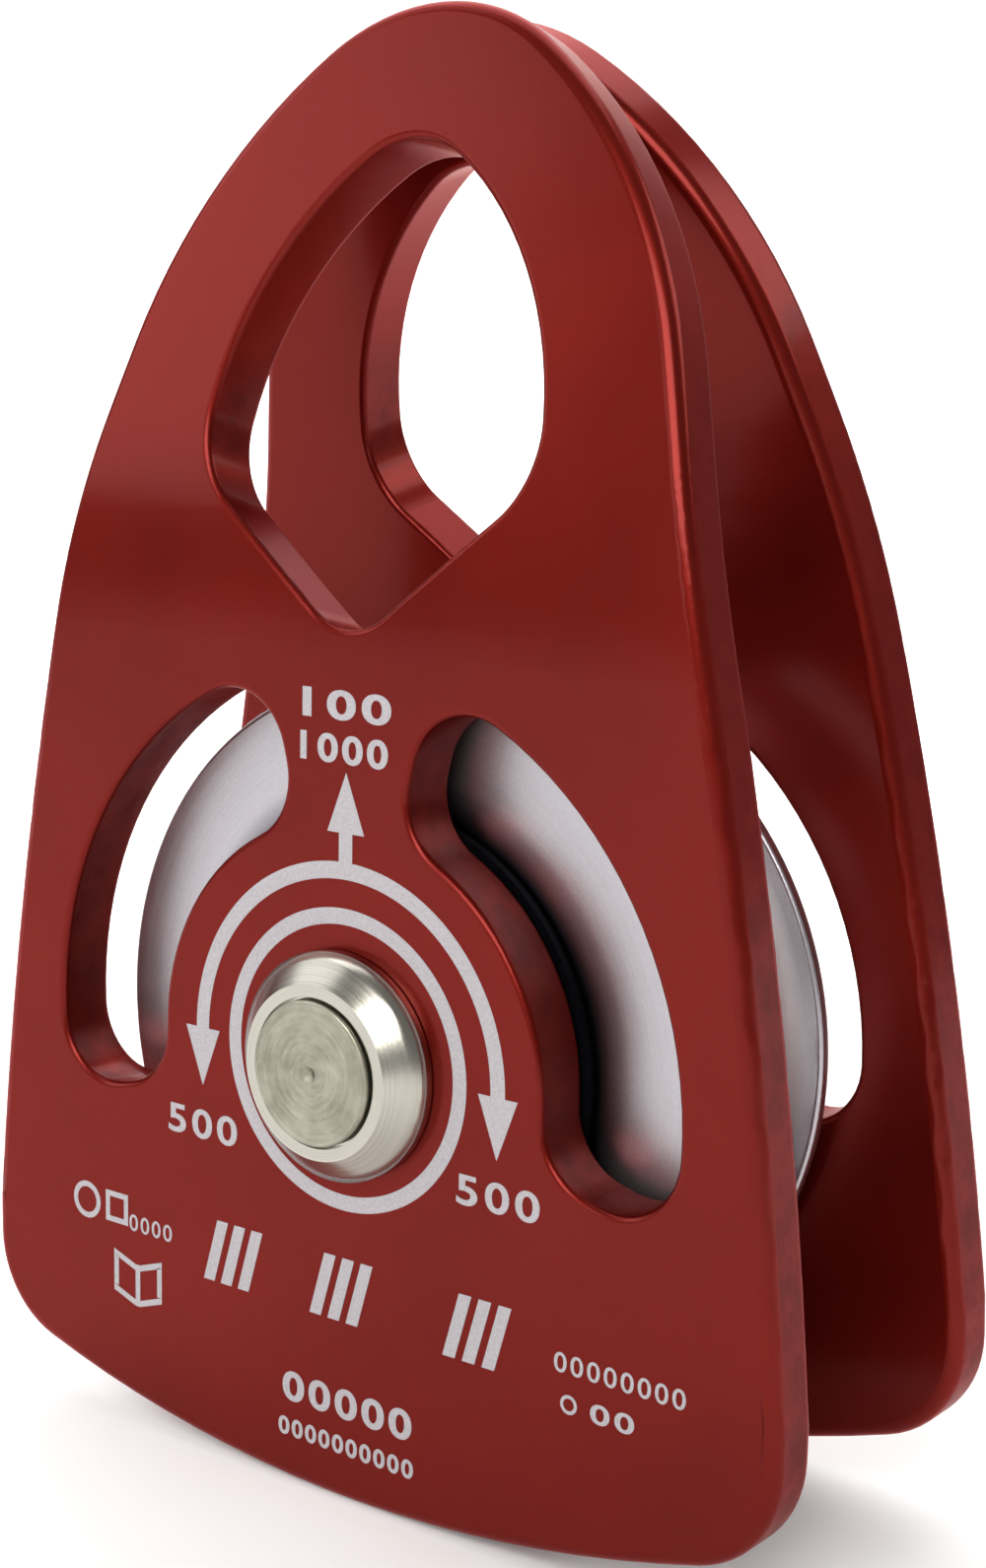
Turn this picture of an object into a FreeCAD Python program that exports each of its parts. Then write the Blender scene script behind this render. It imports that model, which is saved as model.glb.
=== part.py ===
import FreeCAD, Part
import math
import os

import Sketcher

# Swing-cheek rope pulley for arborist work.
#
# Frame: millimetres, +Z up (towards the connector eye), +X to the right, +Y to the rear.
# The origin is the centre of the sheave: on the axle's line, half way between the cheeks.
# Two identical cheek plates stand either side of the sheave and lean together above it.
# The rear cheek is stored swung a little out of line with the front one.

DIMENSIONS = {
    # Cheek plates, side view
    "cheek_gap": 18.8,
    "cheek_thickness": 4.9,
    "bend_start": 30.0,
    "bend_radius": 63.0,
    "lean_angle": 14.0,
    "rear_cheek_swing": 2.6,
    # Cheek outline above the widest place, measured along the leaning part
    "outline_top": 74.86,
    "apex_radius": 16.1,
    "apex_end_angle": 36.85,
    "shoulder_radius": 40.97,
    "shoulder_end_angle": 73.71,
    "flank_radius": 342.35,
    "flank_depth": 24.0,
    # Cheek outline below the widest place
    "foot_half_width": 36.96,
    "foot_corner_radius": 8.33,
    "foot_bottom": -33.31,
    "foot_bottom_radius": 109.4,
    "outline_edge_radius": 1.1,
    "cut_out_edge_radius": 0.5,
    # Connector eye, measured along the leaning part
    "eye_tip_radius": 5.3,
    "eye_tip_angle": 38.3,
    "eye_half_width": 14.85,
    "eye_widest_height": 44.4,
    "eye_corner_radius": 7.5,
    "eye_corner_turn": 7.0,
    "eye_side_radius": 26.5,
    "eye_top": 64.9,
    # Side windows
    "window_inner_radius": 17.7,
    "window_outer_radius": 28.8,
    "window_low_angle": 14.3,
    "window_high_angle": 75.0,
    "window_corner_radius": 5.0,
    # Sheave
    "sheave_radius": 27.1,
    "sheave_half_width": 8.25,
    "groove_radius": 7.0,
    "groove_tread_radius": 20.0,
    "rim_edge_radius": 0.4,
    "sheave_shoulder_half_width": 1.0,
    "sheave_shoulder_radius": 11.0,
    # Ball bearings, one at each end of the sheave
    "bearing_bore_radius": 6.0,
    "bearing_outside_radius": 12.0,
    "bearing_width": 6.0,
    "ball_radius": 1.5875,
    "ball_circle_radius": 9.0,
    "ball_count": 10,
    "race_clearance": 0.02,
    "inner_race_radius": 8.0,
    "outer_race_radius": 10.0,
    "cage_half_width": 1.9,
    "cage_half_thickness": 0.55,
    "cage_clearance": 0.07,
    "seal_thickness": 0.4,
    "seal_inset": 0.1,
    "seal_seat_depth": 0.3,
    "seal_lip_clearance": 0.05,
    # Circlips that hold the bearings in the sheave
    "circlip_thickness": 0.7,
    "circlip_groove_depth": 0.5,
    "circlip_band": 1.6,
    "circlip_mouth_half_angle": 14.0,
    "circlip_lug_radius": 1.1,
    "circlip_lug_hole_radius": 0.5,
    # Axle, caps and washers
    "axle_end_radius": 5.3,
    "axle_end_height": 3.56,
    "axle_edge_radius": 0.25,
    "dimple_radius": 0.6,
    "dimple_depth": 0.35,
    "spigot_radius": 7.0,
    "spigot_clearance": 0.05,
    "cap_radius": 8.4,
    "cap_lift": 0.12,
    "cap_band_height": 1.0,
    "cap_height": 3.1,
    "cap_face_radius": 6.4,
    "cap_mouth_gap": 0.2,
    "cap_mouth_depth": 0.6,
    "washer_radius": 18.0,
    "washer_thickness": 0.65,
    "washer_clearance": 0.25,
}

os.makedirs("parts", exist_ok=True)
doc = FreeCAD.newDocument("rope_pulley")
dims = doc.addObject("Spreadsheet::Sheet", "Dims")
for row, (alias, number) in enumerate(DIMENSIONS.items(), start=1):
    dims.set("A%d" % row, alias.replace("_", " "))
    dims.set("B%d" % row, str(number))
    dims.setAlias("B%d" % row, alias)
doc.recompute()


# ---------------------------------------------------------------- sketching and cutting

def size(formula):
    """Write the names in a formula as cells of the dimension sheet."""
    words = formula.split(" ")
    return " ".join("Dims." + word if word in DIMENSIONS else word for word in words)


def value(formula):
    """Number that a formula over the dimension sheet gives now."""
    return float(dims.evalExpression(size(formula)))


def minus(formula):
    return "0 - ( " + formula + " )"


def new_body(name):
    body = doc.addObject("PartDesign::Body", name)
    body.Label = name
    return body


def origin_feature(body, role):
    return [feature for feature in body.Origin.OriginFeatures if feature.Role == role][0]


def new_sketch(body, name, role):
    """Sketch on one of the body's origin planes."""
    sketch = body.newObject("Sketcher::SketchObject", name)
    sketch.AttachmentSupport = [(origin_feature(body, role), "")]
    sketch.MapMode = "FlatFace"
    return sketch


def bind(sketch, kind, geometry, formula):
    """Add a dimension to a sketch and tie it to the dimension sheet."""
    index = sketch.addConstraint(Sketcher.Constraint(kind, *geometry, value(formula)))
    sketch.setExpression("Constraints[%d]" % index, size(formula))


def first_point(corner):
    """Sketch arcs always run anticlockwise, so an arc that bulges left starts at its point 2."""
    return 2 if len(corner) == 4 and corner[3] > 0 else 1


def last_point(corner):
    return 3 - first_point(corner)


def arc_between(start, end, radius, side):
    """Shorter arc from start to end; side +1 bulges to the left of the way travelled."""
    chord = end - start
    left = FreeCAD.Vector(-chord.y, chord.x, 0).normalize()
    depth = math.sqrt(radius ** 2 - (chord.Length / 2) ** 2)
    centre = (start + end) * 0.5 - left * (side * depth)
    if side > 0:
        start, end = end, start
    circle = Part.Circle(centre, FreeCAD.Vector(0, 0, 1), radius)
    first = math.atan2(start.y - centre.y, start.x - centre.x)
    last = math.atan2(end.y - centre.y, end.x - centre.x)
    if last < first:
        last += 2 * math.pi
    return Part.ArcOfCircle(circle, first, last)


def draw_profile(sketch, corners):
    """Draw a closed profile. Each corner is (across, up) for a straight side that follows,
    or (across, up, radius, side) for an arc that follows, bulging left (+1) or right (-1)."""
    offset = sketch.GeometryCount
    count = len(corners)
    points = [FreeCAD.Vector(value(corner[0]), value(corner[1]), 0) for corner in corners]
    for index, corner in enumerate(corners):
        start = points[index]
        end = points[(index + 1) % count]
        if len(corner) == 2:
            sketch.addGeometry(Part.LineSegment(start, end))
        else:
            sketch.addGeometry(arc_between(start, end, value(corner[2]), corner[3]))
    for index, corner in enumerate(corners):
        following = (index + 1) % count
        joint = (offset + index, last_point(corner), offset + following, first_point(corners[following]))
        sketch.addConstraint(Sketcher.Constraint("Coincident", *joint))
    for index, corner in enumerate(corners):
        point = (-1, 1, offset + index, first_point(corner))
        bind(sketch, "DistanceX", point, corner[0])
        bind(sketch, "DistanceY", point, corner[1])
        if len(corner) == 4:
            bind(sketch, "Radius", (offset + index,), corner[2])


def draw_circle(sketch, radius, across="0", up="0"):
    centre = FreeCAD.Vector(value(across), value(up), 0)
    index = sketch.addGeometry(Part.Circle(centre, FreeCAD.Vector(0, 0, 1), value(radius)))
    bind(sketch, "DistanceX", (-1, 1, index, 3), across)
    bind(sketch, "DistanceY", (-1, 1, index, 3), up)
    bind(sketch, "Radius", (index,), radius)


def mirrored(corners):
    """The same closed profile with left and right changed over."""
    result = []
    for index in range(len(corners) - 1, -1, -1):
        arriving_side = tuple(corners[index - 1][2:])
        result.append((minus(corners[index][0]), corners[index][1]) + arriving_side)
    return result


def pocket(body, name, sketch):
    """Cut a sketch right through the body, both ways from its plane."""
    before = body.Shape.Volume
    feature = body.newObject("PartDesign::Pocket", name)
    feature.Profile = sketch
    feature.Type = "ThroughAll"
    feature.SideType = "Symmetric"
    doc.recompute()
    if body.Shape.Volume >= before:
        raise ValueError(name + " cuts nothing")


def round_edges(body, name, radius, chosen):
    """Round every edge of the body's last feature that the test chooses."""
    base = body.Tip
    picked = ["Edge%d" % (i + 1) for i, edge in enumerate(base.Shape.Edges) if chosen(edge)]
    if not picked:
        raise ValueError(name + " finds no edge")
    feature = body.newObject("PartDesign::Fillet", name)
    feature.Base = (base, picked)
    feature.Radius = value(radius)
    feature.setExpression("Radius", size(radius))
    doc.recompute()


def lies_along_x(edge):
    first, last = edge.Vertexes[0].Point, edge.Vertexes[-1].Point
    return abs(first.y - last.y) < 1e-6 and abs(first.z - last.z) < 1e-6 and abs(first.x - last.x) > 1e-3


def lies_along_y(edge):
    first, last = edge.Vertexes[0].Point, edge.Vertexes[-1].Point
    return abs(first.x - last.x) < 1e-6 and abs(first.z - last.z) < 1e-6 and abs(first.y - last.y) > 1e-3


# ---------------------------------------------------------------- cheek plates

OUTER_FACE = "0 - cheek_gap / 2 - cheek_thickness"
INNER_FACE = "0 - cheek_gap / 2"
LEAN_SIN = "sin( lean_angle * 1 deg )"
LEAN_COS = "cos( lean_angle * 1 deg )"
FRAME_RIGHT = "foot_half_width + 20"
FRAME_LEFT = minus(FRAME_RIGHT)


def bent_strip(body):
    """Plate before cutting out: straight up, then bent over towards the sheave's middle plane."""
    bend_end = (OUTER_FACE + " + bend_radius * ( 1 - " + LEAN_COS + " )",
                "bend_start + bend_radius * " + LEAN_SIN)
    top = (bend_end[0] + " + outline_top / 2 * " + LEAN_SIN,
           bend_end[1] + " + outline_top / 2 * " + LEAN_COS)
    inward = " + cheek_thickness * " + LEAN_COS
    down = " - cheek_thickness * " + LEAN_SIN
    foot = "foot_bottom - 6"
    sketch = new_sketch(body, "side_view", "YZ_Plane")
    draw_profile(sketch, [
        (OUTER_FACE, foot),
        (OUTER_FACE, "bend_start", "bend_radius", 1),
        bend_end,
        top,
        (top[0] + inward, top[1] + down),
        (bend_end[0] + inward, bend_end[1] + down, "bend_radius - cheek_thickness", -1),
        (INNER_FACE, "bend_start"),
        (INNER_FACE, foot),
    ])
    strip = body.newObject("PartDesign::Pad", "bent_strip")
    strip.Profile = sketch
    strip.SideType = "Symmetric"
    strip.setExpression("Length", size("2 * foot_half_width + 12"))
    doc.recompute()


def leaning_sketch(body, name):
    """Sketch on the outer face's leaning part; its up direction runs along the lean."""
    sketch = new_sketch(body, name, "XZ_Plane")
    tilt = FreeCAD.Rotation(FreeCAD.Vector(-1, 0, 0), value("lean_angle"))
    sketch.AttachmentOffset = FreeCAD.Placement(FreeCAD.Vector(0, 0, -value(OUTER_FACE)), tilt)
    sketch.setExpression("AttachmentOffset.Base.z", size(minus(OUTER_FACE)))
    sketch.setExpression("AttachmentOffset.Rotation.Angle", size("lean_angle * 1 deg"))
    return sketch


def trim_above(body):
    """Cut away everything outside the flanks, shoulders and apex, square to the leaning part."""
    apex_sin = "sin( apex_end_angle * 1 deg )"
    apex_cos = "cos( apex_end_angle * 1 deg )"
    flank_sin = "sin( shoulder_end_angle * 1 deg )"
    flank_cos = "cos( shoulder_end_angle * 1 deg )"
    apex_end = ("apex_radius * " + apex_sin,
                "outline_top - apex_radius + apex_radius * " + apex_cos)
    shoulder_end = (apex_end[0] + " + shoulder_radius * ( " + flank_sin + " - " + apex_sin + " )",
                    apex_end[1] + " + shoulder_radius * ( " + flank_cos + " - " + apex_cos + " )")
    centre = (shoulder_end[0] + " - flank_radius * " + flank_sin,
              shoulder_end[1] + " - flank_radius * " + flank_cos)
    drop = "( flank_depth + ( " + centre[1] + " ) )"
    flank_end = (centre[0] + " + sqrt( flank_radius ^ 2 - " + drop + " ^ 2 )", "0 - flank_depth")
    frame_top = "outline_top + 40"
    sketch = leaning_sketch(body, "upper_outline")
    draw_profile(sketch, [
        flank_end + ("flank_radius", -1),
        shoulder_end + ("shoulder_radius", -1),
        apex_end + ("apex_radius", -1),
        (minus(apex_end[0]), apex_end[1], "shoulder_radius", -1),
        (minus(shoulder_end[0]), shoulder_end[1], "flank_radius", -1),
        (minus(flank_end[0]), flank_end[1]),
        (FRAME_LEFT, flank_end[1]),
        (FRAME_LEFT, frame_top),
        (FRAME_RIGHT, frame_top),
        (FRAME_RIGHT, flank_end[1]),
    ])
    pocket(body, "trim_above", sketch)


def trim_below(body):
    """Cut away everything outside the rounded foot, square to the straight part."""
    reach = "( foot_half_width - foot_corner_radius )"
    span = "( foot_bottom_radius - foot_corner_radius )"
    centre = "foot_bottom + foot_bottom_radius"
    corner_height = centre + " - sqrt( " + span + " ^ 2 - " + reach + " ^ 2 )"
    joint = ("foot_bottom_radius * " + reach + " / " + span,
             centre + " - foot_bottom_radius * sqrt( 1 - ( " + reach + " / " + span + " ) ^ 2 )")
    side_top = "foot_bottom / 4"
    frame_foot = "foot_bottom - 20"
    sketch = new_sketch(body, "lower_outline", "XZ_Plane")
    draw_profile(sketch, [
        ("foot_half_width", side_top),
        ("foot_half_width", corner_height, "foot_corner_radius", 1),
        joint + ("foot_bottom_radius", 1),
        (minus(joint[0]), joint[1], "foot_corner_radius", 1),
        (minus("foot_half_width"), corner_height),
        (minus("foot_half_width"), side_top),
        (FRAME_LEFT, side_top),
        (FRAME_LEFT, frame_foot),
        (FRAME_RIGHT, frame_foot),
        (FRAME_RIGHT, side_top),
    ])
    pocket(body, "trim_below", sketch)


def cut_eye(body):
    """Connector eye: a rounded V below, wide corners, and sides that close to a round top."""
    tip_sin = "sin( eye_tip_angle * 1 deg )"
    tip_cos = "cos( eye_tip_angle * 1 deg )"
    turn_sin = "sin( eye_corner_turn * 1 deg )"
    turn_cos = "cos( eye_corner_turn * 1 deg )"
    corner_across = "( eye_half_width - eye_corner_radius )"
    tip_centre = ("eye_widest_height + ( eye_tip_radius - eye_corner_radius - "
                  + corner_across + " * " + tip_sin + " ) / " + tip_cos)
    tip_end = ("eye_tip_radius * " + tip_sin, tip_centre + " - eye_tip_radius * " + tip_cos)
    corner_start = (corner_across + " + eye_corner_radius * " + tip_sin,
                    "eye_widest_height - eye_corner_radius * " + tip_cos)
    corner_end = (corner_across + " + eye_corner_radius * " + turn_cos,
                  "eye_widest_height + eye_corner_radius * " + turn_sin)
    centre = (corner_across + " - ( eye_side_radius - eye_corner_radius ) * " + turn_cos,
              "eye_widest_height - ( eye_side_radius - eye_corner_radius ) * " + turn_sin)
    rise = "( eye_top - ( " + centre[1] + " ) )"
    top_radius = ("( eye_side_radius ^ 2 - " + rise + " ^ 2 - ( " + centre[0] + " ) ^ 2 )"
                  + " / ( 2 * ( eye_side_radius - " + rise + " ) )")
    stretch = "eye_side_radius / ( eye_side_radius - ( " + top_radius + " ) )"
    side_end = (centre[0] + " - ( " + centre[0] + " ) * " + stretch,
                centre[1] + " + ( " + rise + " - ( " + top_radius + " ) ) * " + stretch)
    sketch = leaning_sketch(body, "eye_outline")
    draw_profile(sketch, [
        (minus(tip_end[0]), tip_end[1], "eye_tip_radius", -1),
        tip_end,
        corner_start + ("eye_corner_radius", -1),
        corner_end + ("eye_side_radius", -1),
        side_end + (top_radius, -1),
        (minus(side_end[0]), side_end[1], "eye_side_radius", -1),
        (minus(corner_end[0]), corner_end[1], "eye_corner_radius", -1),
        (minus(corner_start[0]), corner_start[1]),
    ])
    pocket(body, "eye", sketch)


def cut_windows(body):
    """Two ring-shaped slots beside the axle, with rounded corners, and the bore for the cap."""
    low = ("cos( window_low_angle * 1 deg )", "( 0 - sin( window_low_angle * 1 deg ) )")
    high = ("cos( window_high_angle * 1 deg )", "sin( window_high_angle * 1 deg )")
    outer = "window_outer_radius * "
    inner = "window_inner_radius * "
    right_window = [
        (outer + low[0], outer + low[1], "window_outer_radius", -1),
        (outer + high[0], outer + high[1]),
        (inner + high[0], inner + high[1], "window_inner_radius", 1),
        (inner + low[0], inner + low[1]),
    ]
    sketch = new_sketch(body, "window_outline", "XZ_Plane")
    draw_profile(sketch, right_window)
    draw_profile(sketch, mirrored(right_window))
    pocket(body, "windows", sketch)
    nearest = value("window_inner_radius") - 1
    furthest = value("window_outer_radius") + 1
    round_edges(body, "window_corners", "window_corner_radius",
                lambda edge: lies_along_y(edge)
                and nearest < math.hypot(edge.Vertexes[0].X, edge.Vertexes[0].Z) < furthest)
    sketch = new_sketch(body, "bore_outline", "XZ_Plane")
    draw_circle(sketch, "spigot_radius + spigot_clearance")
    pocket(body, "cap_bore", sketch)


def skin_depth(point):
    """How far a point lies below the outer face of the bent plate, measured square to it."""
    radius = value("bend_radius")
    lean = math.radians(value("lean_angle"))
    across = value(OUTER_FACE) + radius - point.y
    height = point.z - value("bend_start")
    if height <= 0:
        return radius - across
    if math.atan2(height, across) <= lean:
        return radius - math.hypot(height, across)
    return radius - height * math.sin(lean) - across * math.cos(lean)


def samples_on_plate_face(edge):
    """Points along an edge that lies on a face of the plate, or none if it doesn't."""
    ends = edge.ParameterRange
    samples = [edge.valueAt(ends[0] + part * (ends[1] - ends[0])) for part in (0, 0.3, 0.7, 1)]
    depths = [skin_depth(sample) for sample in samples]
    on_skin = any(max(abs(depth - level) for depth in depths) < 1e-3
                  for level in (0, value("cheek_thickness")))
    return samples if on_skin and not lies_along_x(edge) else []


def reach(samples):
    """Furthest that the points get from the axle's line."""
    return max(math.hypot(sample.x, sample.z) for sample in samples)


def round_a_cut_out(samples):
    """True for points round the eye or a window."""
    margin = 0.1
    round_window = reach(samples) < value("window_outer_radius") + margin
    round_eye = all(abs(sample.x) < value("eye_half_width") + margin and 0 < sample.z < value("eye_top")
                    for sample in samples)
    return round_window or round_eye


def on_outline(edge):
    samples = samples_on_plate_face(edge)
    return bool(samples) and not round_a_cut_out(samples)


def on_cut_out(edge):
    """True round the eye and the windows, but not round the axle's bore."""
    samples = samples_on_plate_face(edge)
    return bool(samples) and round_a_cut_out(samples) and reach(samples) > value("spigot_radius") + 1


def make_cheek(name):
    body = new_body(name)
    bent_strip(body)
    trim_above(body)
    trim_below(body)
    cut_eye(body)
    cut_windows(body)
    round_edges(body, "outline_edges", "outline_edge_radius", on_outline)
    round_edges(body, "cut_out_edges", "cut_out_edge_radius", on_cut_out)
    return body


# ---------------------------------------------------------------- turned pieces
# Every turned piece is drawn for the rear end of the axle as (radius, distance to the rear).

BEARING_INNER_END = "sheave_shoulder_half_width"
BEARING_OUTER_END = "( sheave_shoulder_half_width + bearing_width )"
BALL_PLANE = "( sheave_shoulder_half_width + bearing_width / 2 )"
CHEEK_FACE = "( cheek_gap / 2 + cheek_thickness )"
RACE_GROOVE = "( ball_radius + race_clearance )"


def turned(body, corners):
    """Turn a closed profile about the axle's line."""
    sketch = new_sketch(body, "profile", "XY_Plane")
    draw_profile(sketch, corners)
    revolution = body.newObject("PartDesign::Revolution", "turning")
    revolution.Profile = sketch
    revolution.ReferenceAxis = (sketch, ["V_Axis"])
    revolution.Angle = 360
    doc.recompute()


def ring(body, inner, outer, near, far):
    """Plain ring between two radii and two distances along the axle."""
    turned(body, [(inner, near), (outer, near), (outer, far), (inner, far)])


def round_rims(body, name, radius, rim_radii):
    """Round the circular edges that have one of the given radii."""
    rims = [value(rim) for rim in rim_radii]
    round_edges(body, name, radius,
                lambda edge: edge.Curve.TypeId == "Part::GeomCircle"
                and any(abs(edge.Curve.Radius - rim) < 1e-4 for rim in rims))


def make_axle(name):
    body = new_body(name)
    end = CHEEK_FACE + " + axle_end_height"
    dimple = end + " - dimple_depth"
    turned(body, [
        ("0", minus(dimple)),
        ("dimple_radius", minus(end)),
        ("axle_end_radius", minus(end)),
        ("axle_end_radius", minus(BEARING_OUTER_END)),
        ("bearing_bore_radius", minus(BEARING_OUTER_END)),
        ("bearing_bore_radius", BEARING_OUTER_END),
        ("axle_end_radius", BEARING_OUTER_END),
        ("axle_end_radius", end),
        ("dimple_radius", end),
        ("0", dimple),
    ])
    tip = value(end)
    round_edges(body, "end_edges", "axle_edge_radius",
                lambda edge: edge.Curve.TypeId == "Part::GeomCircle"
                and abs(abs(edge.Curve.Center.y) - tip) < 1e-4
                and edge.Curve.Radius > value("dimple_radius") + 1)
    return body


def make_cap(name):
    """Conical cap outside the cheek; its spigot passes through the cheek and bears on the axle."""
    body = new_body(name)
    under = CHEEK_FACE + " + cap_lift"
    face = CHEEK_FACE + " + cap_height"
    turned(body, [
        ("axle_end_radius", BEARING_OUTER_END),
        ("spigot_radius", BEARING_OUTER_END),
        ("spigot_radius", under),
        ("cap_radius", under),
        ("cap_radius", under + " + cap_band_height"),
        ("cap_face_radius", face),
        ("axle_end_radius + cap_mouth_gap", face),
        ("axle_end_radius + cap_mouth_gap", face + " - cap_mouth_depth"),
        ("axle_end_radius", face + " - cap_mouth_depth"),
    ])
    return body


def make_washer(name):
    body = new_body(name)
    near = "sheave_half_width + washer_clearance"
    ring(body, "spigot_radius", "washer_radius", near, near + " + washer_thickness")
    return body


def make_sheave(name):
    """Grooved wheel with a bearing seat and a circlip groove at each end of its bore."""
    body = new_body(name)
    groove_centre = "( groove_tread_radius + groove_radius )"
    lip = "sqrt( groove_radius ^ 2 - ( " + groove_centre + " - sheave_radius ) ^ 2 )"
    near = BEARING_OUTER_END
    far = BEARING_OUTER_END + " + circlip_thickness"
    seat = "bearing_outside_radius"
    slot = "bearing_outside_radius + circlip_groove_depth"
    rear_half = [
        (seat, BEARING_INNER_END),
        (seat, near),
        (slot, near),
        (slot, far),
        (seat, far),
        (seat, "sheave_half_width"),
        ("sheave_radius", "sheave_half_width"),
    ]
    front_half = [(across, minus(up)) for across, up in reversed(rear_half)]
    turned(body, [("sheave_shoulder_radius", BEARING_INNER_END)] + rear_half + [
        ("sheave_radius", lip, "groove_radius", -1),
        ("groove_tread_radius", "0", "groove_radius", -1),
        ("sheave_radius", minus(lip)),
    ] + front_half + [("sheave_shoulder_radius", minus(BEARING_INNER_END))])
    round_rims(body, "rims", "rim_edge_radius", ["sheave_radius"])
    return body


def race_profile(land, back, side):
    """Bearing race between its land and its back, with a round ball groove in the land."""
    half_mouth = "sqrt( " + RACE_GROOVE + " ^ 2 - ( " + land + " - ball_circle_radius ) ^ 2 )"
    return [
        (back, BEARING_INNER_END),
        (land, BEARING_INNER_END),
        (land, BALL_PLANE + " - " + half_mouth, RACE_GROOVE, side),
        (land, BALL_PLANE + " + " + half_mouth),
        (land, BEARING_OUTER_END),
        (back, BEARING_OUTER_END),
    ]


def make_inner_race(name):
    body = new_body(name)
    turned(body, race_profile("inner_race_radius", "bearing_bore_radius", 1))
    return body


def make_outer_race(name):
    """Outer race with a stepped seat for a seal at each side."""
    body = new_body(name)
    race = race_profile("outer_race_radius", "bearing_outside_radius", -1)
    seat = "outer_race_radius + seal_seat_depth"
    depth = "seal_inset + seal_thickness"
    race[1:2] = [
        (seat, BEARING_INNER_END),
        (seat, BEARING_INNER_END + " + " + depth),
        ("outer_race_radius", BEARING_INNER_END + " + " + depth),
    ]
    race[-2:-1] = [
        ("outer_race_radius", BEARING_OUTER_END + " - ( " + depth + " )"),
        (seat, BEARING_OUTER_END + " - ( " + depth + " )"),
        (seat, BEARING_OUTER_END),
    ]
    turned(body, race)
    return body


def make_seal(name, near):
    body = new_body(name)
    inner = "inner_race_radius + seal_lip_clearance"
    outer = "outer_race_radius + seal_seat_depth"
    ring(body, inner, outer, near, near + " + seal_thickness")
    return body


def ball_circle(body, kind, radius):
    """Equal balls spaced round the axle in the bearing's middle plane, added or cut away."""
    ball = body.newObject(kind, "ball")
    ball.AttachmentSupport = [(origin_feature(body, "XY_Plane"), "")]
    ball.MapMode = "FlatFace"
    poles_outward = FreeCAD.Rotation(FreeCAD.Vector(0, 1, 0), 90)
    ball.AttachmentOffset = FreeCAD.Placement(FreeCAD.Vector(0, 0, 0), poles_outward)
    ball.setExpression("Radius", size(radius))
    ball.setExpression("AttachmentOffset.Base.x", size("ball_circle_radius"))
    ball.setExpression("AttachmentOffset.Base.y", size(BALL_PLANE))
    doc.recompute()
    around = body.newObject("PartDesign::PolarPattern", "around")
    around.Originals = [ball]
    around.Axis = (origin_feature(body, "Y_Axis"), [""])
    around.Angle = 360
    around.setExpression("Occurrences", size("ball_count"))
    body.Tip = around
    doc.recompute()


def make_balls(name):
    body = new_body(name)
    body.AllowCompound = True
    ball_circle(body, "PartDesign::AdditiveSphere", "ball_radius")
    return body


def make_cage(name):
    body = new_body(name)
    ring(body,
         "ball_circle_radius - cage_half_thickness",
         "ball_circle_radius + cage_half_thickness",
         BALL_PLANE + " - cage_half_width",
         BALL_PLANE + " + cage_half_width")
    ball_circle(body, "PartDesign::SubtractiveSphere", "ball_radius + cage_clearance")
    return body


def make_spacer(name):
    """Distance ring between the two inner races."""
    body = new_body(name)
    ring(body, "bearing_bore_radius", "inner_race_radius", minus(BEARING_INNER_END), BEARING_INNER_END)
    return body


def make_circlip(name):
    """Sprung ring, open at the top, with a holed lug at each end."""
    body = new_body(name)
    outer = "( bearing_outside_radius + circlip_groove_depth )"
    inner = "( " + outer + " - circlip_band )"
    far = BEARING_OUTER_END + " + circlip_thickness"
    ring(body, inner, outer, BEARING_OUTER_END, far)
    mouth_sin = "sin( circlip_mouth_half_angle * 1 deg )"
    mouth_cos = "cos( circlip_mouth_half_angle * 1 deg )"
    reach = "( " + outer + " + 1 )"
    sketch = new_sketch(body, "mouth_outline", "XZ_Plane")
    draw_profile(sketch, [
        ("0", "0"),
        (reach + " * " + mouth_sin, reach + " * " + mouth_cos),
        (minus(reach + " * " + mouth_sin), reach + " * " + mouth_cos),
    ])
    pocket(body, "mouth", sketch)
    lug_circle = "( " + inner + " - circlip_lug_radius / 2 )"
    lug_angle = "asin( ( circlip_lug_radius + 0.1 + " + inner + " * " + mouth_sin + " ) / " + lug_circle + " )"
    for side, sign in (("right", ""), ("left", "0 - ")):
        across = sign + lug_circle + " * sin( " + lug_angle + " )"
        up = lug_circle + " * cos( " + lug_angle + " )"
        for kind, radius in (("lug", "circlip_lug_radius"), ("hole", "circlip_lug_hole_radius")):
            sketch = new_sketch(body, side + "_" + kind + "_outline", "XZ_Plane")
            draw_circle(sketch, radius, across, up)
            if kind == "hole":
                pocket(body, side + "_" + kind, sketch)
            else:
                lug = body.newObject("PartDesign::Pad", side + "_" + kind)
                sketch.setExpression("AttachmentOffset.Base.z", size(minus(far)))
                lug.Profile = sketch
                lug.setExpression("Length", size("circlip_thickness"))
                doc.recompute()
    return body


# ---------------------------------------------------------------- the pieces

def face_front(body):
    """Turn a piece drawn for the rear end of the axle to the front end, or the other way."""
    body.Placement = FreeCAD.Placement(
        FreeCAD.Vector(0, 0, 0), FreeCAD.Rotation(FreeCAD.Vector(0, 0, 1), 180))
    return body


make_cheek("front_cheek")
rear_cheek = face_front(make_cheek("rear_cheek"))
swing = FreeCAD.Placement(
    FreeCAD.Vector(0, 0, 0), FreeCAD.Rotation(FreeCAD.Vector(0, -1, 0), value("rear_cheek_swing")))
rear_cheek.Placement = swing.multiply(rear_cheek.Placement)

make_axle("axle_pin")
make_sheave("sheave")
make_spacer("centre_spacer")

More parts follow.
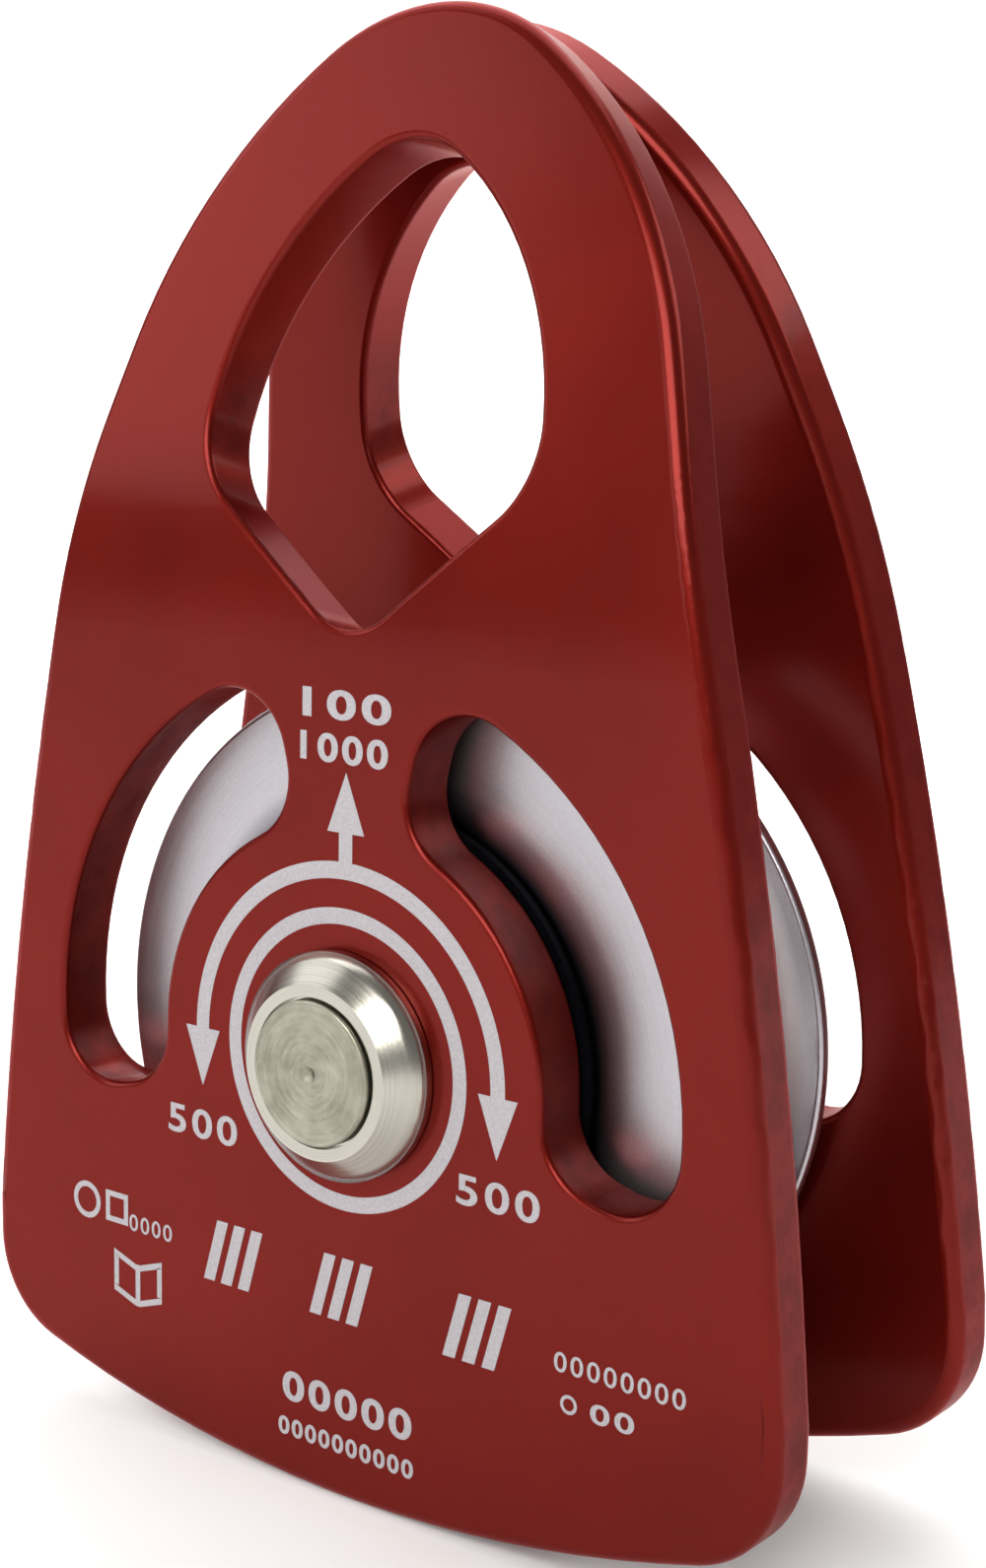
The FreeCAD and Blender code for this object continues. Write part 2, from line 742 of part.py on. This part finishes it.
OUTER_SEAL_START = BEARING_OUTER_END + " - seal_inset - seal_thickness"
INNER_SEAL_START = BEARING_INNER_END + " + seal_inset"
for end in ("front", "rear"):
    pieces = [
        make_cap(end + "_cap"),
        make_washer(end + "_thrust_washer"),
        make_circlip(end + "_circlip"),
        make_outer_race(end + "_outer_race"),
        make_inner_race(end + "_inner_race"),
        make_balls(end + "_balls"),
        make_cage(end + "_cage"),
        make_seal(end + "_outer_seal", OUTER_SEAL_START),
        make_seal(end + "_inner_seal", INNER_SEAL_START),
    ]
    if end == "front":
        for piece in pieces:
            face_front(piece)
doc.recompute()

for item in doc.Objects:
    if "Invalid" in item.State or "Error" in item.State:
        raise ValueError(item.Name + " has not been made")
for body in doc.findObjects("PartDesign::Body"):
    if body.Shape.isNull() or not body.Shape.isValid():
        raise ValueError(body.Label + " has no valid shape")
    body.Shape.exportStep("parts/%s.step" % body.Label)
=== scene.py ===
import math

import bmesh
import bpy
from mathutils import Matrix, Vector


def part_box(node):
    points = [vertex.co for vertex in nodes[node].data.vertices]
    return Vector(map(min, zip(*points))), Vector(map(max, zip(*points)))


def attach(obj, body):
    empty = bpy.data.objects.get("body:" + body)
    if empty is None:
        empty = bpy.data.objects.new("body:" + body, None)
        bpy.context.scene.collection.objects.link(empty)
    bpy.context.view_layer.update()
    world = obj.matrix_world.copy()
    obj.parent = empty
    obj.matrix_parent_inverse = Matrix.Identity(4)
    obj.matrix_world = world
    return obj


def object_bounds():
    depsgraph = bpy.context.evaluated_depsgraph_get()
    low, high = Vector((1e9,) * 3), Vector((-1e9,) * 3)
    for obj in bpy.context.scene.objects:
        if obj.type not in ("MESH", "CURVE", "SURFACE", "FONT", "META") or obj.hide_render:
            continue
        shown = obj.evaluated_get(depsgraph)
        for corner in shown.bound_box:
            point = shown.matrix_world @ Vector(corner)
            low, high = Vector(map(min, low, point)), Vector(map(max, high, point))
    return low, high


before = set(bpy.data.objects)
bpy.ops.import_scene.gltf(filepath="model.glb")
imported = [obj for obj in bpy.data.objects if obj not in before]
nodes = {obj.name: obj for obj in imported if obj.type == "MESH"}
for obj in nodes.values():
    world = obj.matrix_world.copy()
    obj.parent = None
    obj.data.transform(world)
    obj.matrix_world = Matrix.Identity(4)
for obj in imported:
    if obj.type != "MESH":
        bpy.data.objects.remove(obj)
cad_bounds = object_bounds()
MM = 0.001
WELD_REACH = 0.001 * MM


# ---------------------------------------------------------------- camera

CAMERA_PLACE = Vector((113.025, -146.003, 50.001)) * MM
CAMERA_TARGET = Vector((2.261, 0.0, 18.882)) * MM
CAMERA_ROLL = math.radians(1.1145)
CAMERA_LENS = 57.378
SENSOR_WIDTH = 36.0
NEAREST_SEEN = 10 * MM


def add_camera():
    data = bpy.data.cameras.new("camera")
    data.lens = CAMERA_LENS
    data.sensor_width = SENSOR_WIDTH
    data.clip_start = NEAREST_SEEN
    data.dof.use_dof = False
    camera = bpy.data.objects.new("camera", data)
    bpy.context.scene.collection.objects.link(camera)
    aim = (CAMERA_TARGET - CAMERA_PLACE).to_track_quat("-Z", "Y").to_matrix()
    turn = aim @ Matrix.Rotation(CAMERA_ROLL, 3, "Z")
    camera.matrix_world = Matrix.Translation(CAMERA_PLACE) @ turn.to_4x4()
    bpy.context.scene.camera = camera


# ---------------------------------------------------------------- node graphs

# Share of a surface's normal that points along the axle: walls have less than the first of these, and
# faces and rounded edges more than the second.
WALL_LEAN = 0.04
FACE_LEAN = 0.12
# Most of a noise texture's values lie between these.
NOISE_LOW = 0.3
NOISE_HIGH = 0.7


class Graph:
    """A material's node tree, with short ways to add and join nodes."""

    def __init__(self, name):
        self.material = bpy.data.materials.new(name)
        self.material.use_nodes = True
        self.tree = self.material.node_tree
        self.shader = self.tree.nodes["Principled BSDF"]
        self.place = self.add("ShaderNodeTexCoord").outputs["Object"]

    def add(self, kind, **settings):
        node = self.tree.nodes.new(kind)
        for key, setting in settings.items():
            setattr(node, key, setting)
        return node

    def feed(self, socket, source):
        """Join a source to a socket, or set the socket when the source is a plain value."""
        if isinstance(source, bpy.types.NodeSocket):
            self.tree.links.new(source, socket)
        else:
            socket.default_value = source

    def drive(self, name, source):
        """Feed one of the shader's inputs."""
        self.feed(self.shader.inputs[name], source)

    def surface(self, **values):
        """Set the shader's plain values: names with _ for a space."""
        for name, setting in values.items():
            self.shader.inputs[name.replace("_", " ")].default_value = setting

    def maths(self, operation, first, second=0.0, third=0.0):
        node = self.add("ShaderNodeMath", operation=operation)
        for socket, source in zip(node.inputs, (first, second, third)):
            self.feed(socket, source)
        return node.outputs[0]

    def blend(self, first, share, second):
        """First times its share, plus second times the rest."""
        return self.maths("MULTIPLY_ADD", first, share, self.maths("MULTIPLY", second, 1 - share))

    def split(self, vector):
        """The X, Y and Z outputs of a vector."""
        node = self.add("ShaderNodeSeparateXYZ")
        self.feed(node.inputs[0], vector)
        return node.outputs

    def noise(self, vector, scale, detail=2.0, roughness=0.5):
        node = self.add("ShaderNodeTexNoise")
        self.feed(node.inputs["Vector"], vector)
        node.inputs["Scale"].default_value = scale
        node.inputs["Detail"].default_value = detail
        node.inputs["Roughness"].default_value = roughness
        return node.outputs["Fac"]

    def ramp(self, source, dark, light, low=NOISE_LOW, high=NOISE_HIGH):
        """Colour that runs from dark at low to light at high."""
        node = self.add("ShaderNodeValToRGB")
        self.feed(node.inputs["Fac"], source)
        for element, position, colour in zip(node.color_ramp.elements, (low, high), (dark, light)):
            element.position = position
            element.color = (*colour, 1.0)
        return node.outputs["Color"]

    def span(self, source, low, high, to_low, to_high):
        """Map a value's range onto another, held at both ends."""
        node = self.add("ShaderNodeMapRange")
        for socket, number in zip(node.inputs, (source, low, high, to_low, to_high)):
            self.feed(socket, number)
        return node.outputs["Result"]

    def spread(self, source, first, last, low=NOISE_LOW, high=NOISE_HIGH):
        """Value that runs from first at low to last at high."""
        return self.span(source, low, high, first, last)

    def mix(self, share, first, second):
        """First colour where share is 0, second where it is 1."""
        node = self.add("ShaderNodeMix", data_type="RGBA")
        self.feed(node.inputs["Factor"], share)
        self.feed(node.inputs[6], first)
        self.feed(node.inputs[7], second)
        return node.outputs[2]

    def bump(self, height, strength, distance):
        node = self.add("ShaderNodeBump")
        self.feed(node.inputs["Height"], height)
        node.inputs["Strength"].default_value = strength
        node.inputs["Distance"].default_value = distance
        self.drive("Normal", node.outputs["Normal"])

    def radius(self):
        """Distance from the axle's line."""
        place = self.split(self.place)
        across = self.maths("MULTIPLY", place["X"], place["X"])
        up = self.maths("MULTIPLY", place["Z"], place["Z"])
        return self.maths("SQRT", self.maths("ADD", across, up))

    def around(self):
        """Angle about the axle's line."""
        place = self.split(self.place)
        return self.maths("ARCTAN2", place["Z"], place["X"])

    def off_middle(self):
        """Distance from the middle plane, measured along the axle."""
        return self.maths("ABSOLUTE", self.split(self.place)["Y"])

    def cut_wall(self):
        """1 on walls that run along the axle's line, 0 on the plate's faces and rounded edges."""
        normal = self.split(self.add("ShaderNodeNewGeometry").outputs["True Normal"])
        return self.span(self.maths("ABSOLUTE", normal["Y"]), WALL_LEAN, FACE_LEAN, 1.0, 0.0)

    def turning_lines(self, spacing, drift):
        """Uneven rings left by a lathe tool; they wander slightly with the angle."""
        vector = self.add("ShaderNodeCombineXYZ")
        self.feed(vector.inputs["X"], self.maths("DIVIDE", self.radius(), spacing))
        self.feed(vector.inputs["Y"], self.maths("MULTIPLY", self.around(), drift))
        return self.noise(vector.outputs[0], scale=1.0, detail=3.0, roughness=0.6)

    def along_rings(self):
        """Lay stretched highlights round the axle, as turned metal shows them."""
        tangent = self.add("ShaderNodeTangent", direction_type="RADIAL", axis="Y")
        self.drive("Tangent", tangent.outputs[0])


# ---------------------------------------------------------------- materials

# Painted shade on the sheave: it starts just outside the thrust washer, where the cheek shades the
# flank, and fades out over a few millimetres.
SHADE_START = 0.2 * MM
SHADE_END = 3.0 * MM
PAINTED_SHADE_COLOUR = (0.020, 0.018, 0.028, 1.0)
# A painted highlight lightens the groove, which lies in the cheeks' shade, up to this share of the
# sheave's half width.
GROOVE_SHARE = 0.84
GROOVE_FADE = 0.3 * MM
GROOVE_PAINTED_LIGHT = (0.88, 0.86, 0.87, 1.0)
# The floor's glow grows with the distance behind the object and fades out to the sides; in metres.
GLOW_START = -0.05
GLOW_FULL = 0.25
GLOW_HALF_WIDTH = 0.3
GLOW_FADED = 1.1
GLOW_STRENGTH = 0.75


def anodised_red():
    """Dyed oxide on aluminium: deep red with a clear skin, and rougher, browner on its cut walls."""
    graph = Graph("anodised_red")
    cloud = graph.noise(graph.place, scale=60.0, detail=3.0)
    grain = graph.noise(graph.place, scale=5200.0, detail=2.0, roughness=0.7)
    smear = graph.noise(graph.place, scale=330.0, detail=5.0, roughness=0.65)
    wall = graph.cut_wall()
    tone = graph.blend(grain, 0.35, cloud)
    face_colour = graph.ramp(tone, (0.130, 0.0062, 0.0038), (0.175, 0.0085, 0.0052))
    wall_colour = graph.ramp(smear, (0.105, 0.0058, 0.0038), (0.165, 0.0120, 0.0080), low=0.35)
    graph.drive("Base Color", graph.mix(wall, face_colour, wall_colour))
    face_roughness = graph.spread(cloud, 0.30, 0.38)
    wall_roughness = graph.maths("MULTIPLY", wall, graph.spread(smear, 0.2, 0.05, low=0.35))
    graph.drive("Roughness", graph.maths("ADD", face_roughness, wall_roughness))
    graph.surface(Metallic=0.75, Specular_IOR_Level=0.15, Specular_Tint=(0.9, 0.35, 0.28, 1.0),
                  Coat_Weight=0.2, Coat_Roughness=0.16)
    wall_height = graph.maths("MULTIPLY", smear, 2.0)
    height = graph.maths("MULTIPLY_ADD", wall, wall_height, grain)
    graph.bump(height, strength=0.10, distance=0.02 * MM)
    return graph.material


def turned_steel(name, dark, light, roughness, spacing, anisotropy):
    """Bright steel with fine rings; roughness gives its lowest and highest value."""
    graph = Graph(name)
    lines = graph.turning_lines(spacing, drift=0.35)
    stain = graph.noise(graph.place, scale=260.0, detail=4.0)
    graph.drive("Base Color", graph.ramp(lines, dark, light))
    graph.drive("Roughness", graph.spread(stain, *roughness))
    graph.surface(Metallic=1.0, Anisotropic=anisotropy)
    graph.along_rings()
    graph.bump(lines, strength=0.12, distance=0.03 * MM)
    return graph.material


def rough_turned_end():
    """End of the axle: coarse tool marks and smears."""
    graph = Graph("rough_turned_end")
    lines = graph.turning_lines(0.30 * MM, drift=1.2)
    smear = graph.noise(graph.place, scale=420.0, detail=5.0, roughness=0.6)
    tone = graph.blend(smear, 0.6, lines)
    colour = graph.ramp(tone, (0.24, 0.23, 0.175), (0.42, 0.40, 0.33), low=0.35, high=0.65)
    graph.drive("Base Color", colour)
    graph.drive("Roughness", graph.spread(tone, 0.44, 0.34, low=0.35, high=0.65))
    graph.surface(Metallic=1.0, Anisotropic=0.5)
    graph.along_rings()
    graph.bump(lines, strength=0.3, distance=0.06 * MM)
    return graph.material


def satin_alloy():
    """Sheave: finely turned, with painted shade next to the thrust washers and a painted highlight
    across its groove.
    """
    graph = Graph("satin_alloy")
    washer_low, washer_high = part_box("front_thrust_washer")
    washer_radius = (washer_high[0] - washer_low[0]) / 2
    lines = graph.turning_lines(0.16 * MM, drift=0.5)
    grain = graph.noise(graph.place, scale=3800.0, detail=3.0)
    tone = graph.blend(grain, 0.4, lines)
    turned = graph.ramp(tone, (0.43, 0.41, 0.435), (0.54, 0.515, 0.545))
    # Painted shade: the base colour goes dark close to the thrust washers, where the flank lies in
    # shade.
    shade_free = graph.span(graph.radius(), washer_radius + SHADE_START, washer_radius + SHADE_END, 0.0, 1.0)
    with_painted_shade = graph.mix(shade_free, PAINTED_SHADE_COLOUR, turned)
    # Painted highlight: the base colour turns near white across the groove, which the cheeks shade.
    groove_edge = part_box("sheave")[1][1] * GROOVE_SHARE
    groove_lit = graph.span(graph.off_middle(), groove_edge - GROOVE_FADE, groove_edge, 1.0, 0.0)
    graph.drive("Base Color", graph.mix(groove_lit, with_painted_shade, GROOVE_PAINTED_LIGHT))
    graph.drive("Roughness", graph.spread(tone, 0.3, 0.38))
    graph.surface(Metallic=1.0, Anisotropic=0.3)
    graph.along_rings()
    graph.bump(tone, strength=0.15, distance=0.03 * MM)
    return graph.material


def moulded(name, dark, light, roughness, grain_scale, gloss):
    """Moulded plastic or rubber with a fine grain; roughness gives its lowest and highest value."""
    graph = Graph(name)
    grain = graph.noise(graph.place, grain_scale, detail=3.0)
    graph.drive("Base Color", graph.ramp(grain, dark, light))
    graph.drive("Roughness", graph.spread(grain, *roughness))
    graph.surface(Specular_IOR_Level=gloss)
    graph.bump(grain, strength=0.2, distance=0.03 * MM)
    return graph.material


def etched_mark():
    """Pale, slightly uneven marks where the colour has been burnt off."""
    graph = Graph("etched_mark")
    grain = graph.noise(graph.place, scale=4200.0, detail=3.0)
    colour = graph.ramp(grain, (0.34, 0.315, 0.335), (0.46, 0.435, 0.455), low=0.25, high=0.75)
    graph.drive("Base Color", colour)
    graph.drive("Roughness", graph.spread(grain, 0.5, 0.65))
    graph.surface(Metallic=0.15)
    graph.bump(grain, strength=0.15, distance=0.02 * MM)
    return graph.material


def pale_studio():
    """Matt pale floor that glows softly behind the object, like a lit studio sweep."""
    graph = Graph("pale_studio")
    cloud = graph.noise(graph.place, scale=3.0)
    graph.drive("Base Color", graph.ramp(cloud, (0.86, 0.86, 0.86), (0.90, 0.90, 0.90)))
    place = graph.split(graph.place)
    behind = graph.span(place["Y"], GLOW_START, GLOW_FULL, 0.0, 1.0)
    central = graph.span(graph.maths("ABSOLUTE", place["X"]), GLOW_HALF_WIDTH, GLOW_FADED, 1.0, 0.0)
    glow = graph.maths("MULTIPLY", behind, central)
    graph.drive("Emission Strength", graph.maths("MULTIPLY", glow, GLOW_STRENGTH))
    graph.surface(Roughness=0.9, Specular_IOR_Level=0.2, Emission_Color=(1.0, 1.0, 1.0, 1.0))
    return graph.material


def finishes():
    """A material for each kind of node, by the word that its name ends with."""
    red = anodised_red()
    race = turned_steel("ground_race", dark=(0.50, 0.50, 0.52), light=(0.62, 0.62, 0.64),
                        roughness=(0.12, 0.2), spacing=0.06 * MM, anisotropy=0.4)
    return {
        "cheek": red,
        "sheave": satin_alloy(),
        "axle_pin": rough_turned_end(),
        "cap": turned_steel("bright_cap", dark=(0.42, 0.40, 0.35), light=(0.52, 0.50, 0.44),
                            roughness=(0.18, 0.24), spacing=0.12 * MM, anisotropy=0.75),
        "washer": moulded("black_washer", dark=(0.0015, 0.0015, 0.002), light=(0.003, 0.003, 0.0045),
                          roughness=(0.3, 0.4), grain_scale=3000.0, gloss=0.1),
        "circlip": turned_steel("dark_spring", dark=(0.10, 0.10, 0.11), light=(0.18, 0.18, 0.19),
                                roughness=(0.35, 0.45), spacing=0.2 * MM, anisotropy=0.2),
        "race": race,
        "spacer": race,
        "balls": turned_steel("polished_ball", dark=(0.62, 0.62, 0.64), light=(0.70, 0.70, 0.72),
                              roughness=(0.06, 0.1), spacing=0.3 * MM, anisotropy=0.0),
        "cage": moulded("cage_nylon", dark=(0.60, 0.55, 0.42), light=(0.72, 0.67, 0.54),
                        roughness=(0.4, 0.5), grain_scale=1800.0, gloss=0.5),
        "seal": moulded("seal_rubber", dark=(0.008, 0.008, 0.009), light=(0.02, 0.02, 0.022),
                        roughness=(0.5, 0.65), grain_scale=2500.0, gloss=0.4),
    }


def dress_nodes():
    """Give every CAD node its material and even out the shading across its curved faces."""
    finish_by_ending = finishes()
    for name, node in nodes.items():
        finish = next(finish_by_ending[word] for word in finish_by_ending if name.endswith(word))
        node.data.materials[0] = finish
        join = node.modifiers.new("join", "WELD")
        join.merge_threshold = WELD_REACH
        even = node.modifiers.new("even", "WEIGHTED_NORMAL")
        even.mode = "FACE_AREA_WITH_ANGLE"
        even.weight = 100
        even.keep_sharp = True


# ---------------------------------------------------------------- marks on the front cheek

FRONT_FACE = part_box("front_cheek")[0][1]
MARK_LIFT = 0.015 * MM
# The marks' own sizes and places, from here to the end of this section, are in mm; on_face turns them
# into metres. The hub ring and the load arc share this middle.
HUB_ACROSS = 0.17
HUB_UP = 0.27
ARC_INNER = 13.25
ARC_OUTER = 14.5
SHAFT_HALF_WIDTH = 0.62
HEAD_HALF_WIDTH = 1.71
HEAD_LENGTH = 4.5
NUMERAL_SPACING = 1.2
# Groups of slanted bars: how many in each, where each group starts and stands, and its bars' pitch.
BARS_IN_GROUP = 3
BAR_GROUPS = (-13.6, -2.9, 9.6)
BAR_BOTTOM = -19.4
BAR_PITCH = 1.75
MARKING = etched_mark()


def lay_on_face(name, mesh):
    """Finish a flat mesh as a mark that rides on the front cheek."""
    piece = bpy.data.objects.new(name, mesh)
    bpy.context.scene.collection.objects.link(piece)
    piece.data.materials.clear()
    piece.data.materials.append(MARKING)
    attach(piece, "front_cheek")


def on_face(x, z):
    """Point just proud of the front face."""
    return (x * MM, FRONT_FACE - MARK_LIFT, z * MM)


def mark(name, polygons):
    """Flat mark on the front face; each polygon lists its corners."""
    mesh = bmesh.new()
    for polygon in polygons:
        mesh.faces.new([mesh.verts.new(on_face(x, z)) for x, z in polygon])
    bmesh.ops.remove_doubles(mesh, verts=mesh.verts, dist=WELD_REACH)
    bmesh.ops.recalc_face_normals(mesh, faces=mesh.faces)
    for face in mesh.faces:
        if face.normal.y > 0:
            face.normal_flip()
    data = bpy.data.meshes.new(name)
    mesh.to_mesh(data)
    mesh.free()
    lay_on_face(name, data)


def numerals(name, text, left, right, bottom, top, weight):
    """A line of numerals fitted to a box on the front face."""
    curve = bpy.data.curves.new(name, "FONT")
    curve.body = text
    curve.offset = weight
    curve.space_character = NUMERAL_SPACING
    writing = bpy.data.objects.new(name + "_writing", curve)
    bpy.context.scene.collection.objects.link(writing)
    bpy.context.view_layer.update()
    data = bpy.data.meshes.new_from_object(writing)
    bpy.data.objects.remove(writing)
    across = [vertex.co.x for vertex in data.vertices]
    up = [vertex.co.y for vertex in data.vertices]
    widen = (right - left) / (max(across) - min(across))
    heighten = (top - bottom) / (max(up) - min(up))
    for vertex in data.vertices:
        x = left + (vertex.co.x - min(across)) * widen
        z = bottom + (vertex.co.y - min(up)) * heighten
        vertex.co = on_face(x, z)
    lay_on_face(name, data)


def ring_part(inner, outer, start, end, steps, across=HUB_ACROSS, up=HUB_UP):
    """Quads of a flat ring; angles in degrees, clockwise from straight up."""
    quads = []
    angles = [math.radians(start + (end - start) * step / steps) for step in range(steps + 1)]
    for first, second in zip(angles, angles[1:]):
        corners = ((inner, first), (outer, first), (outer, second), (inner, second))
        quads.append([(across + radius * math.sin(angle), up + radius * math.cos(angle))
                      for radius, angle in corners])
    return quads


def bar(left, bottom, width, height, slant=0.0):
    """Four-sided bar that leans over by slant at its top."""
    return [(left, bottom), (left + width, bottom),
            (left + width + slant, bottom + height), (left + slant, bottom + height)]


def arrow_down(middle, base):
    """Triangle that points down."""
    return [(middle - HEAD_HALF_WIDTH, base), (middle + HEAD_HALF_WIDTH, base),
            (middle, base - HEAD_LENGTH)]


def arrow_up(middle, bottom, head_base, tip):
    """Arrow with a shaft, that points up."""
    return [
        (middle - SHAFT_HALF_WIDTH, bottom), (middle + SHAFT_HALF_WIDTH, bottom),
        (middle + SHAFT_HALF_WIDTH, head_base), (middle + HEAD_HALF_WIDTH, head_base),
        (middle, tip), (middle - HEAD_HALF_WIDTH, head_base),
        (middle - SHAFT_HALF_WIDTH, head_base),
    ]


def box_outline(left, bottom, width, height, line):
    """Four bars round a rectangle."""
    between = width - 2 * line
    return [
        bar(left, bottom, line, height),
        bar(left + width - line, bottom, line, height),
        bar(left + line, bottom, between, line),
        bar(left + line, bottom + height - line, between, line),
    ]


def book(left, bottom, width, height, line=0.5, fold=0.8):
    """Open book in outline: two pages that drop by fold to a spine, their side bars cut to the slant."""
    middle = left + width / 2
    slant_cut = 0.1 * line
    pages = []
    for outside, spine in ((left, middle - line / 2), (left + width, middle + line / 2)):
        inward = line if outside < spine else -line
        pages.append([(outside, bottom + fold), (spine, bottom), (spine, bottom + line),
                      (outside, bottom + fold + line)])
        pages.append([(outside, bottom + height), (spine, bottom + height - fold),
                      (spine, bottom + height - fold - line), (outside, bottom + height - line)])
        pages.append([(outside, bottom + fold + line),
                      (outside + inward, bottom + fold + line - slant_cut),
                      (outside + inward, bottom + height - line - slant_cut),
                      (outside, bottom + height - line)])
    pages.append(bar(middle - line / 2, bottom, line, height - fold))
    return pages


def add_load_diagram():
    """Rings, arrows and numerals round the hub that show how the load is shared."""
    arc_top = HUB_UP + math.sqrt(ARC_OUTER ** 2 - SHAFT_HALF_WIDTH ** 2)
    arc_middle = (ARC_INNER + ARC_OUTER) / 2
    mark("mark_hub_ring", ring_part(inner=9.97, outer=11.16, start=0, end=360, steps=120))
    mark("mark_load_arc", ring_part(ARC_INNER, ARC_OUTER, start=-90, end=90, steps=80))
    mark("mark_up_arrow", [arrow_up(HUB_ACROSS, bottom=arc_top, head_base=16.85, tip=21.2)])
    mark("mark_left_arrow", [arrow_down(HUB_ACROSS - arc_middle, HUB_UP)])
    mark("mark_right_arrow", [arrow_down(HUB_ACROSS + arc_middle, HUB_UP)])
    numerals("mark_load_top", "100", left=-3.96, right=4.2, bottom=24.85, top=27.0, weight=0.03)
    numerals("mark_load_total", "1000", left=-4.15, right=3.95, bottom=21.75, top=23.85, weight=0.03)
    numerals("mark_load_left", "500", left=-17.3, right=-10.2, bottom=-8.45, top=-6.15, weight=0.02)
    numerals("mark_load_right", "500", left=10.6, right=17.8, bottom=-8.0, top=-5.75, weight=0.02)


def add_plain_marks():
    """Plain shapes and rows of zeros below the hub, in place of the maker's texts."""
    for index, left in enumerate(BAR_GROUPS):
        bars = [bar(left + BAR_PITCH * step, BAR_BOTTOM, width=1.1, height=4.9, slant=1.4)
                for step in range(BARS_IN_GROUP)]
        mark("mark_bars_%d" % index, bars)
    mark("mark_small_ring", ring_part(1.05, 1.5, start=0, end=360, steps=40, across=-26.3, up=-16.0))
    mark("mark_small_square", box_outline(left=-24.2, bottom=-17.2, width=2.45, height=2.5, line=0.45))
    numerals("mark_small_number", "0000", left=-21.6, right=-17.0, bottom=-17.45, top=-16.1, weight=0.01)
    mark("mark_book", book(left=-23.3, bottom=-23.5, width=5.2, height=4.2))
    numerals("mark_number", "00000", left=-5.5, right=6.9, bottom=-26.85, top=-24.5, weight=0.03)
    numerals("mark_small_row", "0000000000", left=-5.9, right=7.1, bottom=-29.65, top=-28.2, weight=0.03)
    numerals("mark_right_row", "00000000", left=19.3, right=30.0, bottom=-17.95, top=-16.5, weight=0.01)
    mark("mark_diameter", ring_part(0.45, 0.7, start=0, end=360, steps=32, across=20.6, up=-20.1))
    numerals("mark_rope_size", "00", left=22.4, right=26.0, bottom=-20.85, top=-19.4, weight=0.02)


# ---------------------------------------------------------------- studio, in metres

FLOOR_FRONT = -3.0
FLOOR_HALF_WIDTH = 4.0
FLOOR_TURN = math.radians(37.0)
SWEEP_START = 0.9
SWEEP_RADIUS = 0.5
SWEEP_STEPS = 16
BACKDROP_TOP = 3.0
WHITE = (1.0, 1.0, 1.0)
WARM_WHITE = (1.0, 0.98, 0.95)
WORLD_STRENGTH = 0.25


def add_floor():
    """Pale sweep: a floor that curves up into a backdrop well behind the object."""
    level = cad_bounds[0].z
    outline = [(FLOOR_FRONT, level), (SWEEP_START, level)]
    for step in range(1, SWEEP_STEPS + 1):
        angle = math.pi / 2 * step / SWEEP_STEPS
        outline.append((SWEEP_START + SWEEP_RADIUS * math.sin(angle),
                        level + SWEEP_RADIUS * (1 - math.cos(angle))))
    outline.append((SWEEP_START + SWEEP_RADIUS, BACKDROP_TOP))
    mesh = bmesh.new()
    left, right = [[mesh.verts.new((side, y, z)) for y, z in outline]
                   for side in (-FLOOR_HALF_WIDTH, FLOOR_HALF_WIDTH)]
    for index in range(len(outline) - 1):
        mesh.faces.new((left[index], right[index], right[index + 1], left[index + 1]))
    data = bpy.data.meshes.new("floor")
    mesh.to_mesh(data)
    mesh.free()
    for polygon in data.polygons:
        polygon.use_smooth = True
    floor = bpy.data.objects.new("floor", data)
    bpy.context.scene.collection.objects.link(floor)
    floor.rotation_euler.z = FLOOR_TURN
    floor.data.materials.append(pale_studio())


def add_light(name, azimuth, elevation, distance, size, energy, colour):
    """Area light aimed at the object; azimuth in degrees, anticlockwise from +x."""
    data = bpy.data.lights.new(name, "AREA")
    data.shape = "RECTANGLE"
    data.size, data.size_y = size
    data.energy = energy
    data.color = colour
    light = bpy.data.objects.new(name, data)
    turn = math.radians(azimuth)
    rise = math.radians(elevation)
    middle = (cad_bounds[0] + cad_bounds[1]) / 2
    reach = Vector((math.cos(turn) * math.cos(rise), math.sin(turn) * math.cos(rise), math.sin(rise)))
    light.location = middle + reach * distance
    light.rotation_euler = (-reach).to_track_quat("-Z", "Y").to_euler()
    bpy.context.scene.collection.objects.link(light)


def add_lights():
    add_light("back_light", azimuth=130.0, elevation=60.0, distance=1.5, size=(1.6, 1.6),
              energy=16.0, colour=WHITE)
    add_light("left_light", azimuth=214.0, elevation=22.0, distance=0.8, size=(0.4, 0.34),
              energy=1.0, colour=WHITE)
    add_light("high_light", azimuth=192.0, elevation=44.0, distance=0.8, size=(0.56, 0.5),
              energy=1.3, colour=WHITE)
    add_light("front_light", azimuth=290.0, elevation=36.0, distance=0.9, size=(0.7, 0.45),
              energy=6.0, colour=WARM_WHITE)
    add_light("right_light", azimuth=48.0, elevation=36.0, distance=0.9, size=(0.5, 0.4),
              energy=2.0, colour=WARM_WHITE)
    add_light("strip_light", azimuth=250.0, elevation=17.0, distance=0.8, size=(0.2, 0.42),
              energy=0.6, colour=WHITE)


def add_world():
    world = bpy.data.worlds.new("studio")
    world.use_nodes = True
    background = world.node_tree.nodes["Background"]
    background.inputs["Color"].default_value = (*WHITE, 1.0)
    background.inputs["Strength"].default_value = WORLD_STRENGTH
    bpy.context.scene.world = world
    bpy.context.scene.view_settings.view_transform = "Standard"


add_camera()
dress_nodes()
add_load_diagram()
add_plain_marks()
add_floor()
add_lights()
add_world()
